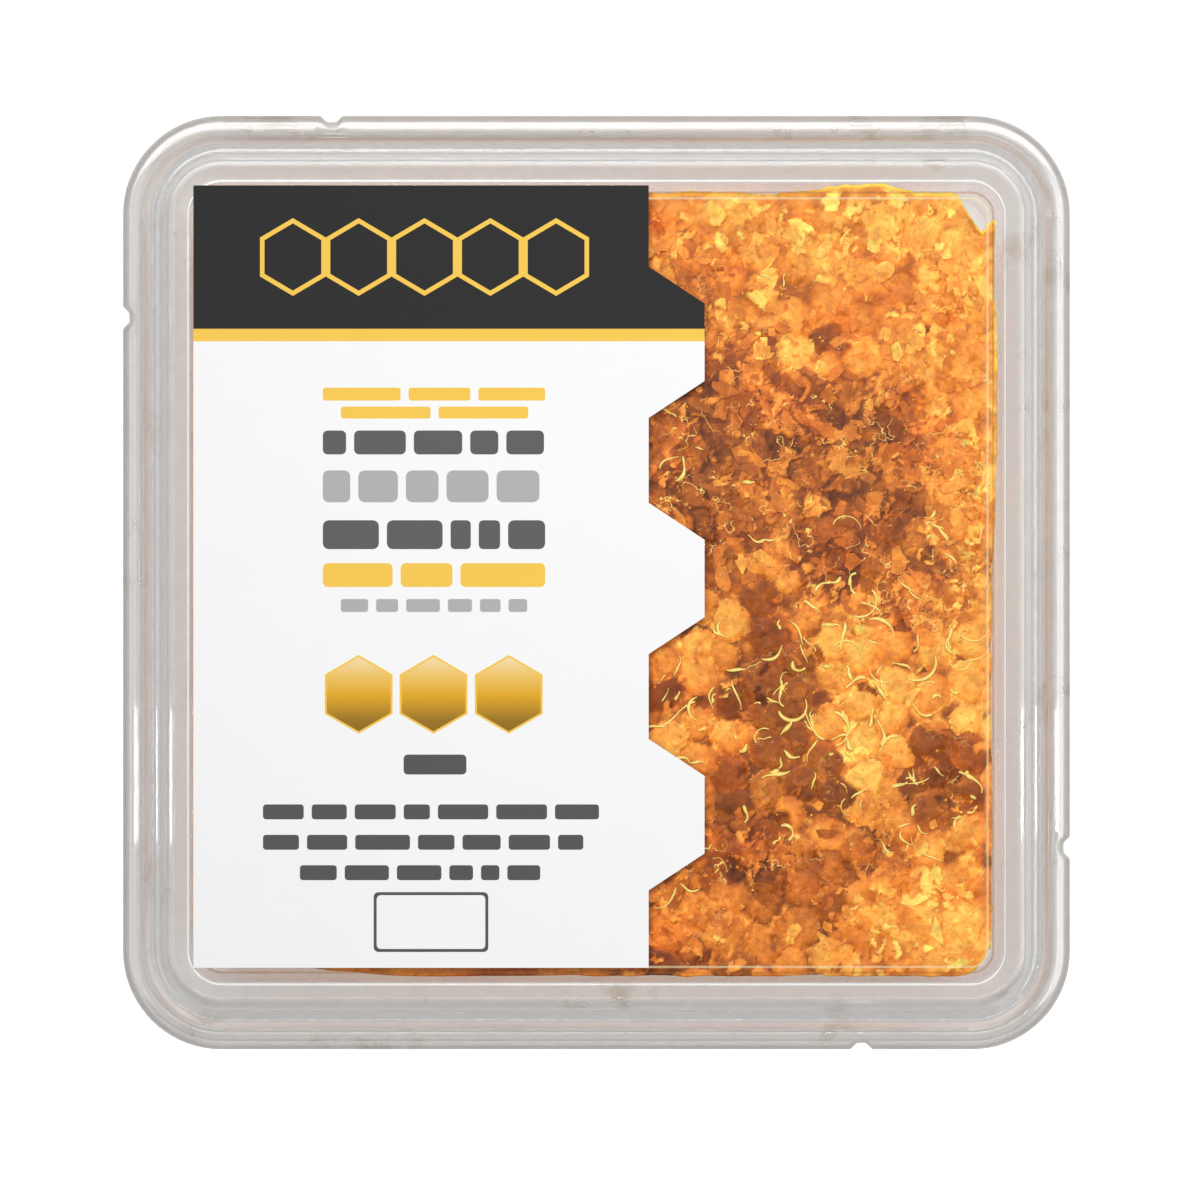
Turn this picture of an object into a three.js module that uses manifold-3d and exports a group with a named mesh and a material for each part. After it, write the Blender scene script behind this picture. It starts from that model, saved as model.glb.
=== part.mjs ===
// A square retail tub of cut honeycomb, lying on its base with the lid up.
// It is four pieces: the clear tub, the clear press-on lid, the card label on the lid, and the comb inside.
// Millimetres, +Z up. The origin is on the surface it rests on, under the middle of the pack.
import * as THREE from "three";
import { mergeVertices } from "three/addons/utils/BufferGeometryUtils.js";
import Module from "manifold-3d";

const wasm = await Module();
wasm.setup();

// The pack as a whole
const PACK_WIDTH = 127;
const PACK_LENGTH = 125.2;
const PACK_HEIGHT = 30.2;
const CORNER_RADIUS = 13.2;
const CORNER_STEPS = 6;
const FILLET_STEPS = 3;
const WALL = 0.8;

// The lid, from its middle outwards. An inset is measured in from the pack's outer edge.
const PANEL_INSET = 10.9;
const PANEL_Z = 28.4;
const LEDGE_INSET = 8.6;
const LEDGE_Z = PANEL_Z - 0.25;
const CREST_INNER_INSET = 7;
const CREST_OUTER_INSET = 5.9;
const CREST_Z = 29.5;
const GROOVE_INNER_INSET = 4.9;
const GROOVE_OUTER_INSET = 3.4;
const GROOVE_Z = 26.9;
const RIM_INSET = 2.9;
const SKIRT_Z = 24.4;

// The tub, from the middle of its floor outwards
const FOOT_HEIGHT = 0.3;
const FOOT_INSET = 11;
const FLOOR_INSET = 8.6;
const SHOULDER_INNER_INSET = 5.3;
const SHOULDER_INNER_Z = 24;
const SHOULDER_OUTER_INSET = 1.9;
const SHOULDER_OUTER_Z = 25.2;
const TUB_RIM_Z = 29.1;

// The notches that set off the two pull corners of the lid
const NOTCH_AT = 35.5;
const NOTCH_DEPTH = 0.85;
const NOTCH_BOTTOM = 1.1;
const NOTCH_MOUTH = 3;

// The label, a card with half hexagons cut from its right edge
const LABEL_LEFT = -54.1;
const LABEL_VALLEY = 7;
const LABEL_PEAK = 14.5;
const LABEL_TOP = 53.3;
const LABEL_BOTTOM = -51.7;
const LABEL_CLIP = 1;
const LABEL_THICKNESS = 0.3;
const LABEL_GAP = 0.05;
const TEETH = 3;
const TEETH_TOP = 42.4;
const TOOTH_PITCH = 31.7;
const TOOTH_SLANT = 4.95;
const TOOTH_FLAT = 10.4;

// The comb, a cut slab with cells opening on both faces
const CELL = 5.45;
const COMB_BOTTOM = WALL + FOOT_HEIGHT + 0.15;
const COMB_THICKNESS = 25.8;
const COMB_TOP = COMB_BOTTOM + COMB_THICKNESS;
const CAP_RISE = 0.5;
const GROOVE_DEPTH = 0.45;
const PIT_DEPTH = 1.1;
const PIT_SHARE = 0.07;
const SCALLOP = 0.4;
const SCALLOP_STEPS = 2;
const MIDRIB = 0.9;
const CELL_RADIUS = CELL / Math.sqrt(3);
// Corners of the slab as it was cut: the top right one is torn, the bottom left one is cut aslant
const COMB_CORNERS = [
  [-53.5, -49.8],
  [-27, -53.3],
  [50.4, -53.1],
  [52.8, -52.2],
  [53.6, -49.5],
  [53.4, 22],
  [54, 26],
  [53.9, 48.8],
  [52.2, 47.4],
  [49.2, 52.6],
  [37, 52.8],
  [34, 53.7],
  [24, 52.9],
  [-51.6, 52.6],
  [-53.3, 50.8],
];

// A closed mesh as a solid that can be joined and cut
function solidOf(geometry) {
  const bare = geometry.clone();
  bare.deleteAttribute("normal");
  bare.deleteAttribute("uv");
  const merged = mergeVertices(bare, 1e-4);
  return new wasm.Manifold(
    new wasm.Mesh({
      numProp: 3,
      vertProperties: new Float32Array(merged.attributes.position.array),
      triVerts: new Uint32Array(merged.index.array),
    }),
  );
}

function geometryOf(solid) {
  const mesh = solid.getMesh();
  return new THREE.BufferGeometry()
    .setAttribute("position", new THREE.BufferAttribute(mesh.vertProperties, 3))
    .setIndex(new THREE.BufferAttribute(mesh.triVerts, 1));
}

function geometryFrom(points, triangles) {
  return new THREE.BufferGeometry()
    .setAttribute("position", new THREE.Float32BufferAttribute(points.flat(), 3))
    .setIndex(triangles.flat());
}

// A number from 0 to 1 that is always the same for the same pair of whole numbers
function chance(a, b) {
  const wave = Math.sin(a * 127.1 + b * 311.7) * 43758.5453;
  return wave - Math.floor(wave);
}

// A profile's corners, each [inset, z, fillet radius], moved down or out by the thickness of a wall
function moved(corners, distance) {
  const sides = corners.slice(1).map(([x, z], i) => {
    const along = new THREE.Vector2(x - corners[i][0], z - corners[i][1]).normalize();
    return { along, out: new THREE.Vector2(-along.y, along.x) };
  });
  return corners.map(([x, z, radius], i) => {
    const before = sides[Math.max(i - 1, 0)];
    const after = sides[Math.min(i, sides.length - 1)];
    const mitre = before.out.clone().add(after.out);
    mitre.multiplyScalar(distance / (1 + before.out.dot(after.out)));
    const turn = Math.sign(before.along.cross(after.along));
    return [x + mitre.x, z + mitre.y, radius ? Math.max(radius - turn * distance, 0.15) : 0];
  });
}

// The same corners with each fillet drawn as an arc of a few steps
function filleted(corners) {
  return corners.flatMap(([x, z, radius], i) => {
    if (!radius) return [[x, z]];
    const corner = new THREE.Vector2(x, z);
    const back = new THREE.Vector2(...corners[i - 1]).sub(corner).normalize();
    const on = new THREE.Vector2(...corners[i + 1]).sub(corner).normalize();
    const half = Math.acos(back.dot(on)) / 2;
    const centre = back.clone().add(on).normalize().multiplyScalar(radius / Math.sin(half)).add(corner);
    const from = back.clone().multiplyScalar(radius / Math.tan(half)).add(corner).sub(centre);
    const turn = Math.sign(from.cross(corner.clone().sub(centre))) * (Math.PI - 2 * half);
    const arc = [];
    for (let k = 0; k <= FILLET_STEPS; k++) {
      const spoke = from.clone().rotateAround(new THREE.Vector2(), (turn * k) / FILLET_STEPS);
      arc.push([centre.x + spoke.x, centre.y + spoke.y]);
    }
    return arc;
  });
}

// The pack's rounded square at an inset, anticlockwise seen from above
function ringAt(inset, z) {
  const radius = CORNER_RADIUS - inset;
  const ring = [];
  for (let quarter = 0; quarter < 4; quarter++) {
    const right = quarter === 0 || quarter === 3 ? 1 : -1;
    const up = quarter < 2 ? 1 : -1;
    for (let k = 0; k <= CORNER_STEPS; k++) {
      const angle = ((quarter + k / CORNER_STEPS) * Math.PI) / 2;
      ring.push([
        right * (PACK_WIDTH / 2 - CORNER_RADIUS) + radius * Math.cos(angle),
        up * (PACK_LENGTH / 2 - CORNER_RADIUS) + radius * Math.sin(angle),
        z,
      ]);
    }
  }
  return ring;
}

// A thin shell of even thickness: its face runs from the middle outwards, its back comes home again
function shell(faceCorners) {
  const face = filleted(faceCorners);
  const back = filleted(moved(faceCorners, WALL)).reverse();
  const profile = [...face, ...back];
  const rings = profile.map(([inset, z]) => ringAt(inset, z));
  const count = rings[0].length;
  const points = rings.flat();
  const triangles = [];
  for (let i = 0; i + 1 < rings.length; i++) {
    for (let k = 0; k < count; k++) {
      const here = i * count + k;
      const next = i * count + ((k + 1) % count);
      triangles.push([here, here + count, next + count], [here, next + count, next]);
    }
  }
  const last = (rings.length - 1) * count;
  const faceMiddle = points.push([0, 0, profile[0][1]]) - 1;
  const backMiddle = points.push([0, 0, profile.at(-1)[1]]) - 1;
  for (let k = 0; k < count; k++) {
    const next = (k + 1) % count;
    triangles.push([faceMiddle, k, next], [backMiddle, last + next, last + k]);
  }
  return geometryFrom(points, triangles);
}

// A wedge-shaped cutter that reaches into the lid's edge, standing at the origin and pointing up +Y
function notchCutter() {
  const outside = 1;
  const shape = new THREE.Shape([
    new THREE.Vector2(-NOTCH_MOUTH / 2, outside),
    new THREE.Vector2(-NOTCH_MOUTH / 2, 0),
    new THREE.Vector2(-NOTCH_BOTTOM / 2, -NOTCH_DEPTH),
    new THREE.Vector2(NOTCH_BOTTOM / 2, -NOTCH_DEPTH),
    new THREE.Vector2(NOTCH_MOUTH / 2, 0),
    new THREE.Vector2(NOTCH_MOUTH / 2, outside),
  ]);
  return new THREE.ExtrudeGeometry(shape, { depth: PACK_HEIGHT, bevelEnabled: false }).translate(0, 0, 1);
}

function makeLid() {
  const face = [
    [PANEL_INSET + 1, PANEL_Z, 0],
    [PANEL_INSET + 0.1, PANEL_Z, 0],
    [PANEL_INSET - 0.1, LEDGE_Z, 0],
    [LEDGE_INSET, LEDGE_Z, 0.8],
    [CREST_INNER_INSET, CREST_Z, 0.5],
    [CREST_OUTER_INSET, CREST_Z, 0.5],
    [GROOVE_INNER_INSET, GROOVE_Z, 0.6],
    [GROOVE_OUTER_INSET, GROOVE_Z, 0.6],
    [RIM_INSET, PACK_HEIGHT, 0.9],
    [0, PACK_HEIGHT, 1.1],
    [0, SKIRT_Z, 0],
  ];
  let lid = solidOf(shell(face));
  // Each notch: where it sits, and the quarter turns from the far side to its own
  const notches = [
    [-NOTCH_AT, PACK_LENGTH / 2, 0],
    [-PACK_WIDTH / 2, NOTCH_AT, 1],
    [NOTCH_AT, -PACK_LENGTH / 2, 2],
    [PACK_WIDTH / 2, -NOTCH_AT, 3],
  ];
  for (const [x, y, turns] of notches) {
    const cutter = notchCutter().rotateZ((turns * Math.PI) / 2).translate(x, y, 0);
    lid = lid.subtract(solidOf(cutter));
  }
  return geometryOf(lid);
}

function makeTub() {
  return shell([
    [FOOT_INSET + 1, WALL, 0],
    [FOOT_INSET, WALL, 0],
    [FOOT_INSET - 0.5, WALL + FOOT_HEIGHT, 0],
    [FLOOR_INSET, WALL + FOOT_HEIGHT, 1.4],
    [SHOULDER_INNER_INSET, SHOULDER_INNER_Z, 0.5],
    [SHOULDER_OUTER_INSET, SHOULDER_OUTER_Z, 0.9],
    [SHOULDER_OUTER_INSET, TUB_RIM_Z, 0],
  ]);
}

function makeLabel() {
  const outline = [[LABEL_LEFT, LABEL_BOTTOM], [LABEL_VALLEY, LABEL_BOTTOM]];
  for (let tooth = TEETH - 1; tooth >= 0; tooth--) {
    const top = TEETH_TOP - tooth * TOOTH_PITCH;
    outline.push(
      [LABEL_VALLEY, top - TOOTH_FLAT - 2 * TOOTH_SLANT],
      [LABEL_PEAK, top - TOOTH_FLAT - TOOTH_SLANT],
      [LABEL_PEAK, top - TOOTH_SLANT],
      [LABEL_VALLEY, top],
    );
  }
  outline.push([LABEL_VALLEY, LABEL_TOP]);
  // The top left corner is clipped where it would ride up the curve of the lid
  outline.push([LABEL_LEFT + LABEL_CLIP, LABEL_TOP], [LABEL_LEFT, LABEL_TOP - LABEL_CLIP]);
  const shape = new THREE.Shape(outline.map(([x, y]) => new THREE.Vector2(x, y)));
  const card = new THREE.ExtrudeGeometry(shape, { depth: LABEL_THICKNESS, bevelEnabled: false });
  return card.translate(0, 0, PANEL_Z + LABEL_GAP);
}

// The slab's outline with a scallop for each cell that the knife cut open
function scallopedShape() {
  const outline = [];
  COMB_CORNERS.forEach(([x, y], i) => {
    const from = new THREE.Vector2(x, y);
    const side = new THREE.Vector2(...COMB_CORNERS[(i + 1) % COMB_CORNERS.length]).sub(from);
    const length = side.length();
    const inwards = new THREE.Vector2(-side.y, side.x).divideScalar(length);
    const pitch = Math.abs(side.x) > Math.abs(side.y) ? CELL_RADIUS * 1.5 : CELL;
    const steps = Math.max(1, Math.round(length / pitch)) * SCALLOP_STEPS;
    for (let k = 0; k < steps; k++) {
      const swell = Math.abs(Math.sin((k / SCALLOP_STEPS) * Math.PI));
      const depth = 0.1 + SCALLOP * swell * (0.5 + chance(i, Math.floor(k / SCALLOP_STEPS)));
      outline.push(from.clone().addScaledVector(side, k / steps).addScaledVector(inwards, depth));
    }
  });
  return new THREE.Shape(outline);
}

// How far the comb's face stands from its level at a point of the lattice of cell middles and corners
function relief(column, row, face) {
  const middle = (row + (column % 2 ? 2 : 0)) % 3 === 0;
  const luck = chance(column + face * 57, row);
  if (!middle) return -GROOVE_DEPTH * (0.4 + 0.6 * luck) - CAP_RISE;
  return luck < PIT_SHARE ? -PIT_DEPTH - CAP_RISE : -CAP_RISE * 0.9 * chance(row, column + face);
}

// A slab wider than the comb, with a face of capped cells above and another below
function cellSlab() {
  const columns = Math.ceil(PACK_WIDTH / (CELL / 2));
  const rows = Math.ceil(PACK_LENGTH / CELL_RADIUS);
  const points = [];
  for (let face = 0; face < 2; face++) {
    for (let column = 0; column < columns; column++) {
      for (let row = 0; row < rows; row++) {
        const rise = relief(column, row, face);
        points.push([
          (column - (columns - 1) / 2) * (CELL / 2),
          (row - (rows - 1) / 2 + (column % 2) / 2) * CELL_RADIUS,
          face ? COMB_BOTTOM - rise : COMB_TOP + rise,
        ]);
      }
    }
  }
  const under = columns * rows;
  const at = (column, row) => column * rows + row;
  const triangles = [];
  const both = (a, b, c) => triangles.push([a, b, c], [a + under, c + under, b + under]);
  const edge = (a, b) => triangles.push([a, a + under, b + under], [a, b + under, b]);
  for (let column = 0; column + 1 < columns; column++) {
    for (let row = 0; row + 1 < rows; row++) {
      const [a, b] = [at(column, row), at(column, row + 1)];
      const [c, d] = [at(column + 1, row), at(column + 1, row + 1)];
      if (column % 2) {
        both(a, d, b);
        both(a, c, d);
      } else {
        both(a, c, b);
        both(b, c, d);
      }
    }
    edge(at(column, 0), at(column + 1, 0));
    edge(at(column + 1, rows - 1), at(column, rows - 1));
  }
  for (let row = 0; row + 1 < rows; row++) {
    edge(at(0, row + 1), at(0, row));
    edge(at(columns - 1, row), at(columns - 1, row + 1));
  }
  // A quarter turn, because the comb's cells stand in columns
  return geometryFrom(points, triangles).rotateZ(Math.PI / 2);
}

function makeComb() {
  const cut = { depth: COMB_THICKNESS + 2, bevelEnabled: false };
  const outline = new THREE.ExtrudeGeometry(scallopedShape(), cut).translate(0, 0, COMB_BOTTOM - 1);
  const corners = COMB_CORNERS.map(([x, y]) => new THREE.Vector2(x, y));
  const wall = new THREE.ExtrudeGeometry(new THREE.Shape(corners), { depth: MIDRIB, bevelEnabled: false });
  wall.translate(0, 0, COMB_BOTTOM + (COMB_THICKNESS - MIDRIB) / 2);
  const cells = solidOf(cellSlab()).intersect(solidOf(outline));
  return geometryOf(cells.add(solidOf(wall)));
}

function piece(name, geometry, color, roughness, opacity = 1) {
  const look = { color, roughness, metalness: 0, opacity, transparent: opacity < 1 };
  const mesh = new THREE.Mesh(geometry, new THREE.MeshStandardMaterial(look));
  mesh.name = name;
  return mesh;
}

const pack = new THREE.Group();
pack.add(piece("tub", makeTub(), 0xd9d7d4, 0.2, 0.35));
pack.add(piece("lid", makeLid(), 0xe4e2df, 0.2, 0.35));
pack.add(piece("label", makeLabel(), 0xf6f6f6, 0.6));
pack.add(piece("comb", makeComb(), 0xe2883f, 0.35));

export default pack;
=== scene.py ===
import math
import random

import bpy
import numpy as np
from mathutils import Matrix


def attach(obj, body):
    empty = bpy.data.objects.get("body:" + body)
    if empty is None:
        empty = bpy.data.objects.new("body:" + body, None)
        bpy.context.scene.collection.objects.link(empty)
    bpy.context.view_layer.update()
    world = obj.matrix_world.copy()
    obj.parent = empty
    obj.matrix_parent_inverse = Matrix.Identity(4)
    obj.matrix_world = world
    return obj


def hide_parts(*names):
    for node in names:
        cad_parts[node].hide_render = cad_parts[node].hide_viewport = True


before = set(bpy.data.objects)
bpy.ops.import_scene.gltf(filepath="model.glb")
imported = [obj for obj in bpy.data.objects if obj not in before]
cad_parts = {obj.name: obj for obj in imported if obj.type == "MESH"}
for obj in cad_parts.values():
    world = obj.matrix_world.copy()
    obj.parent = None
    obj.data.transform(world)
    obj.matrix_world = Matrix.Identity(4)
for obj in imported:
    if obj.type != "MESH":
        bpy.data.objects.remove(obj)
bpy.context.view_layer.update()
MM = 0.001

# The photograph's scale and the pack's middle in it, in pixels
PIXEL = 0.1338
PHOTO_MIDDLE = (596.5, 582.5)
PHOTO_SIZE = 1200

# The pack, from the CAD part
WIDTH = 127
LENGTH = 125.2
HEIGHT = 30.2
RADIUS = 13.2
WALL = 0.8
PANEL_INSET = 10.9
PANEL_Z = 28.4
LEDGE_INSET = 8.6
LEDGE_Z = 28.15
RIM_INSET = 2.9
NOTCH_AT = 35.5
NOTCH_DEPTH = 0.85
CELL = 5.45
COMB_BOTTOM = 1.25
COMB_TOP = 27.05
CARD_Z = 28.45
CARD_THICKNESS = 0.3
PRINT_Z = CARD_Z + CARD_THICKNESS
INK = 0.015

# Fine things on the comb and the lid
CAP_PITCH = 5.2
THREADS, FLAKES, BEADS = 150, 640, 260
LINE_REACH = 0.15

# The card's edges, and the three teeth of its right edge
LEFT, VALLEY, PEAK, TOP, BOTTOM = -54.1, 7.0, 14.5, 53.3, -51.7
TEETH_TOP, TOOTH_PITCH, TOOTH_SLANT, TOOTH_FLAT = 42.4, 31.7, 4.95, 10.4


def mm(px, py):
    """A pixel of the photograph as a place on the pack."""
    return (px - PHOTO_MIDDLE[0]) * PIXEL, (PHOTO_MIDDLE[1] - py) * PIXEL


def linear(r, g, b):
    """A colour of 0 to 255 as Blender's linear colour."""
    shares = (r / 255, g / 255, b / 255)
    return tuple(c / 12.92 if c <= 0.04045 else ((c + 0.055) / 1.055) ** 2.4 for c in shares)


WAX_LINE = linear(252, 206, 112)
# The dark colour of the comb's fine lines is a painted shadow in cracks.
CREVICE_SHADOW = linear(118, 58, 26)
SMUDGE = (0.68, 0.65, 0.58)
TORN = linear(255, 214, 84)
LIP = linear(255, 238, 96)

# Printed gold from the bottom to the top
GOLD = (
    (0.0, (140, 104, 32)), (0.18, (156, 117, 36)), (0.5, (225, 169, 40)), (0.75, (238, 197, 106)),
    (1.0, (246, 223, 180)),
)

# Materials


class Look:
    """A node material, made a node at a time."""

    def __init__(self, name):
        self.material = bpy.data.materials.new(name)
        self.material.use_nodes = True
        self.nodes = self.material.node_tree.nodes
        self.links = self.material.node_tree.links
        self.shader = self.nodes["Principled BSDF"]
        self.output = self.nodes["Material Output"]

    def feed(self, node, sockets):
        """Gives sockets of a node values, or the outputs of other nodes."""
        for name, value in sockets.items():
            socket = node.inputs[name]
            if isinstance(value, bpy.types.NodeSocket):
                self.links.new(value, socket)
            elif socket.type == "RGBA":
                socket.default_value = (*value, 1)
            else:
                socket.default_value = value

    def node(self, kind, sockets=None, **settings):
        made = self.nodes.new("ShaderNode" + kind)
        for name, value in settings.items():
            setattr(made, name, value)
        self.feed(made, sockets or {})
        return made

    def set(self, **values):
        """Feeds the principled shader. An _ stands for a space."""
        self.feed(self.shader, {name.replace("_", " "): value for name, value in values.items()})

    def place(self):
        return self.node("TexCoord").outputs["Object"]

    def noise(self, size, detail=2, roughness=0.5, offset=0):
        """Noise with bumps of about that size in millimetres."""
        where = self.place()
        if offset:
            moved = self.node("Mapping", {"Location": (offset,) * 3, "Vector": where})
            where = moved.outputs["Vector"]
        made = self.node("TexNoise", {"Scale": 1 / (size * MM), "Detail": detail, "Vector": where})
        self.feed(made, {"Roughness": roughness})
        return made.outputs["Fac"]

    def shards(self, size, offset):
        """A number from 0 to 1 for each ragged shard of about that size in millimetres."""
        scale = 1 / (size * 0.8 * MM)
        push = self.node("TexNoise", {"Scale": scale, "Detail": 2, "Vector": self.place()})
        terms = {0: push.outputs["Color"], 1: (size * 1.1 * MM,) * 3, 2: (offset,) * 3}
        pushed = self.node("VectorMath", terms, operation="MULTIPLY_ADD").outputs["Vector"]
        where = self.node("VectorMath", {0: pushed, 1: self.place()}, operation="ADD")
        sockets = {"Scale": 1 / (size * MM), "Vector": where.outputs["Vector"]}
        made = self.node("TexVoronoi", sockets).outputs["Color"]
        return self.node("SeparateColor", {"Color": made}).outputs["Red"]

    def ramp(self, value, *stops):
        """Stops are (position, colour) from low to high."""
        made = self.node("ValToRGB", {"Fac": value})
        while len(made.color_ramp.elements) < len(stops):
            made.color_ramp.elements.new(0.5)
        for element, (at, colour) in zip(made.color_ramp.elements, stops):
            element.position, element.color = at, (*colour, 1)
        return made.outputs["Color"]

    def between(self, value, low, high, start=0, end=1):
        """Maps a value from start..end to low..high."""
        made = self.node("MapRange", {"Value": value, "From Min": start, "From Max": end})
        self.feed(made, {"To Min": low, "To Max": high})
        return made.outputs["Result"]

    def math(self, operation, a, b=0.0):
        return self.node("Math", {0: a, 1: b}, operation=operation).outputs["Value"]

    def mixed(self, a, b, share, **settings):
        """Colour a turned into colour b by a share of 0 to 1."""
        made = self.node("Mix", data_type="RGBA", **settings)
        self.feed(made, {"Factor": share, "A": a, "B": b})
        return made.outputs["Result"]

    def bump(self, height, depth, strength=1.0):
        """Bumps of that depth in millimetres."""
        made = self.node("Bump", {"Distance": depth * MM, "Strength": strength, "Height": height})
        self.set(Normal=made.outputs["Normal"])

    def tint(self, colour, value, low, high, warmth=0.0):
        """The colour, darker or lighter by a value of 0 to 1. Warmth turns dark parts redder."""
        dark = (low, low * (1 - warmth), low * (1 - 1.5 * warmth))
        grey = self.ramp(value, (0, dark), (1, (high,) * 3))
        return self.mixed(colour, grey, 1, blend_type="MULTIPLY")


def clear_plastic(name, face_on, edge_on, shine, colour, tint):
    """Clear plastic, a little cloudy, and more so where it is seen edge on."""
    look = Look(name)
    look.set(Roughness=0.5, Specular_IOR_Level=0.0)
    smudges = look.between(look.noise(9, detail=3, roughness=0.6, offset=2.0), 0, 1, 0.6, 0.72)
    hazy = look.mixed(look.tint(colour, look.noise(1.6, detail=1), 0.93, 1.06), SMUDGE, smudges)
    look.set(Base_Color=hazy)
    facing = look.node("LayerWeight", {"Blend": 0.3}).outputs["Facing"]
    through = look.node("BsdfTransparent", {"Color": tint}).outputs["BSDF"]
    share = look.between(facing, face_on, edge_on)
    cloudy = look.node("MixShader", {"Fac": share, 1: through, 2: look.shader.outputs["BSDF"]})
    gloss = look.node("BsdfGlossy", {"Roughness": 0.03}).outputs["BSDF"]
    fresnel = look.node("Fresnel", {"IOR": 1.45}).outputs["Fac"]
    shine = look.between(fresnel, 0, shine)
    seen = look.node("MixShader", {"Fac": shine, 1: cloudy.outputs["Shader"], 2: gloss})
    look.feed(look.output, {"Surface": seen.outputs["Shader"]})
    return look.material


def printed(name, colour, roughness=0.45):
    """Ink on card, with the card's faint unevenness."""
    look = Look(name)
    look.set(Roughness=roughness, Specular_IOR_Level=0.06)
    look.set(Base_Color=look.tint(colour, look.noise(6), 0.985, 1.0))
    look.bump(look.noise(0.25), 0.004)
    return look.material


def gold_gradient(name, top, bottom):
    """Printed gold, light at the top and dark at the bottom."""
    look = Look(name)
    look.set(Roughness=0.4, Specular_IOR_Level=0.08)
    height = look.node("SeparateXYZ", {"Vector": look.place()}).outputs["Y"]
    share = look.between(height, 0, 1, bottom * MM, top * MM)
    look.set(Base_Color=look.ramp(share, *[(at, linear(*colour)) for at, colour in GOLD]))
    look.bump(look.noise(0.25), 0.004)
    return look.material


def comb_look(name):
    """Wax and honey: the colours painted on the mesh, with fine lines and grain."""
    look = Look(name)
    paint = look.node("VertexColor", layer_name="paint").outputs
    grain = look.noise(0.7, detail=4, roughness=0.65)
    spots = look.noise(2.0, detail=3, roughness=0.6)
    colour = look.tint(paint["Color"], look.between(grain, 0, 1, 0.3, 0.7), 0.79, 1.18, 0.1)
    colour = look.tint(colour, look.between(spots, 0, 1, 0.3, 0.7), 0.93, 1.14, 0.05)
    # Small shards of wax, some lighter and some darker
    for size, seed in ((1.7, 1.3), (0.9, 4.4)):
        luck = look.math("SUBTRACT", look.shards(size, seed), 0.5)
        luck = look.math("MULTIPLY", luck, look.between(paint["Alpha"], 0.35, 1))
        colour = look.tint(colour, look.math("ADD", luck, 0.5), 0.84, 1.2, 0.08)
    # Thin curled lines where a noise passes its middle value, broken up by another: pale wax lines,
    # and dark lines of painted shadow in cracks
    for size, width, seed, line in ((3.2, 0.012, 0.0, WAX_LINE), (2.2, 0.014, 7.7, CREVICE_SHADOW)):
        swirl = look.noise(size, detail=2.5, roughness=0.62, offset=seed)
        near = look.math("ABSOLUTE", look.math("SUBTRACT", swirl, 0.5))
        thin = look.between(near, 1, 0, width * 0.4, width)
        broken = look.between(look.noise(2.6, detail=1, offset=seed + 3.1), 0, 1, 0.5, 0.56)
        share = look.math("MULTIPLY", look.math("MULTIPLY", thin, broken), paint["Alpha"])
        colour = look.mixed(colour, line, share)
    look.set(Base_Color=colour, Roughness=look.between(grain, 0.32, 0.6), Specular_IOR_Level=0.14)
    look.bump(grain, 0.1, 0.6)
    return look.material


def wax_look(name, colour, roughness, gloss):
    look = Look(name)
    look.set(Roughness=roughness, Specular_IOR_Level=gloss)
    look.set(Base_Color=look.tint(colour, look.noise(0.6, detail=3), 0.92, 1.1, 0.1))
    look.bump(look.noise(0.3), 0.02)
    return look.material


# Meshes


def let_light_through(piece):
    """Light passes this clear piece on its way to what is below."""
    piece.visible_shadow = False
    piece.visible_diffuse = False


def placed(name, data, place=(0, 0, 0)):
    """A new object in the scene."""
    thing = bpy.data.objects.new(name, data)
    thing.location = place
    bpy.context.scene.collection.objects.link(thing)
    return thing


def make_piece(name, points, faces, materials, slot, nodes=(), which=None, paint=None, smooth=True):
    """A mesh piece from points in millimetres. It stands for those CAD nodes."""
    mesh = bpy.data.meshes.new(name)
    mesh.from_pydata((np.asarray(points, float) * MM).tolist(), [], [list(f) for f in faces])
    mesh.polygons.foreach_set("use_smooth", [smooth] * len(mesh.polygons))
    for material in materials:
        mesh.materials.append(material)
    if which is not None:
        mesh.polygons.foreach_set("material_index", which)
    if paint is not None:
        colours = np.ones((len(paint), 4), np.float32)
        colours[:, : paint.shape[1]] = paint
        layer = mesh.color_attributes.new("paint", "FLOAT_COLOR", "POINT")
        layer.data.foreach_set("color", colours.ravel())
    mesh.validate()
    mesh.update()
    piece = placed(name, mesh)
    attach(piece, "root")
    if nodes:
        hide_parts(*nodes)
    return piece


def strip(first, second, count):
    """Faces between two closed rings of points, which start at those numbers."""
    pairs = [(k, (k + 1) % count) for k in range(count)]
    return [(first + k, second + k, second + n, first + n) for k, n in pairs]


def loft(rings):
    """A closed solid through rings that have the same number of points."""
    count = len(rings[0])
    faces = []
    for k in range(len(rings) - 1):
        faces += strip(k * count, (k + 1) * count, count)
    last = len(faces)
    faces += [tuple(range(count)), tuple(range(last + count - 1, last - 1, -1))]
    return np.concatenate(rings), faces


def frame_plate(outer, inner, low, high):
    """A flat ring between two outlines with the same number of points."""
    count = len(outer)
    rings = ((outer, low), (inner, low), (outer, high), (inner, high))
    points = [(x, y, z) for ring, z in rings for x, y in ring]
    faces = []
    for first, second in ((3, 2), (0, 1), (2, 0), (1, 3)):
        faces += strip(first * count, second * count, count)
    return np.array(points, float), faces


# The plastic shells: profiles of corners (inset, z, fillet radius) carried round a rounded square

CORNER_STEPS = 18
FILLET_STEPS = 7


def unit(way):
    return way / np.linalg.norm(way)


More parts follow.
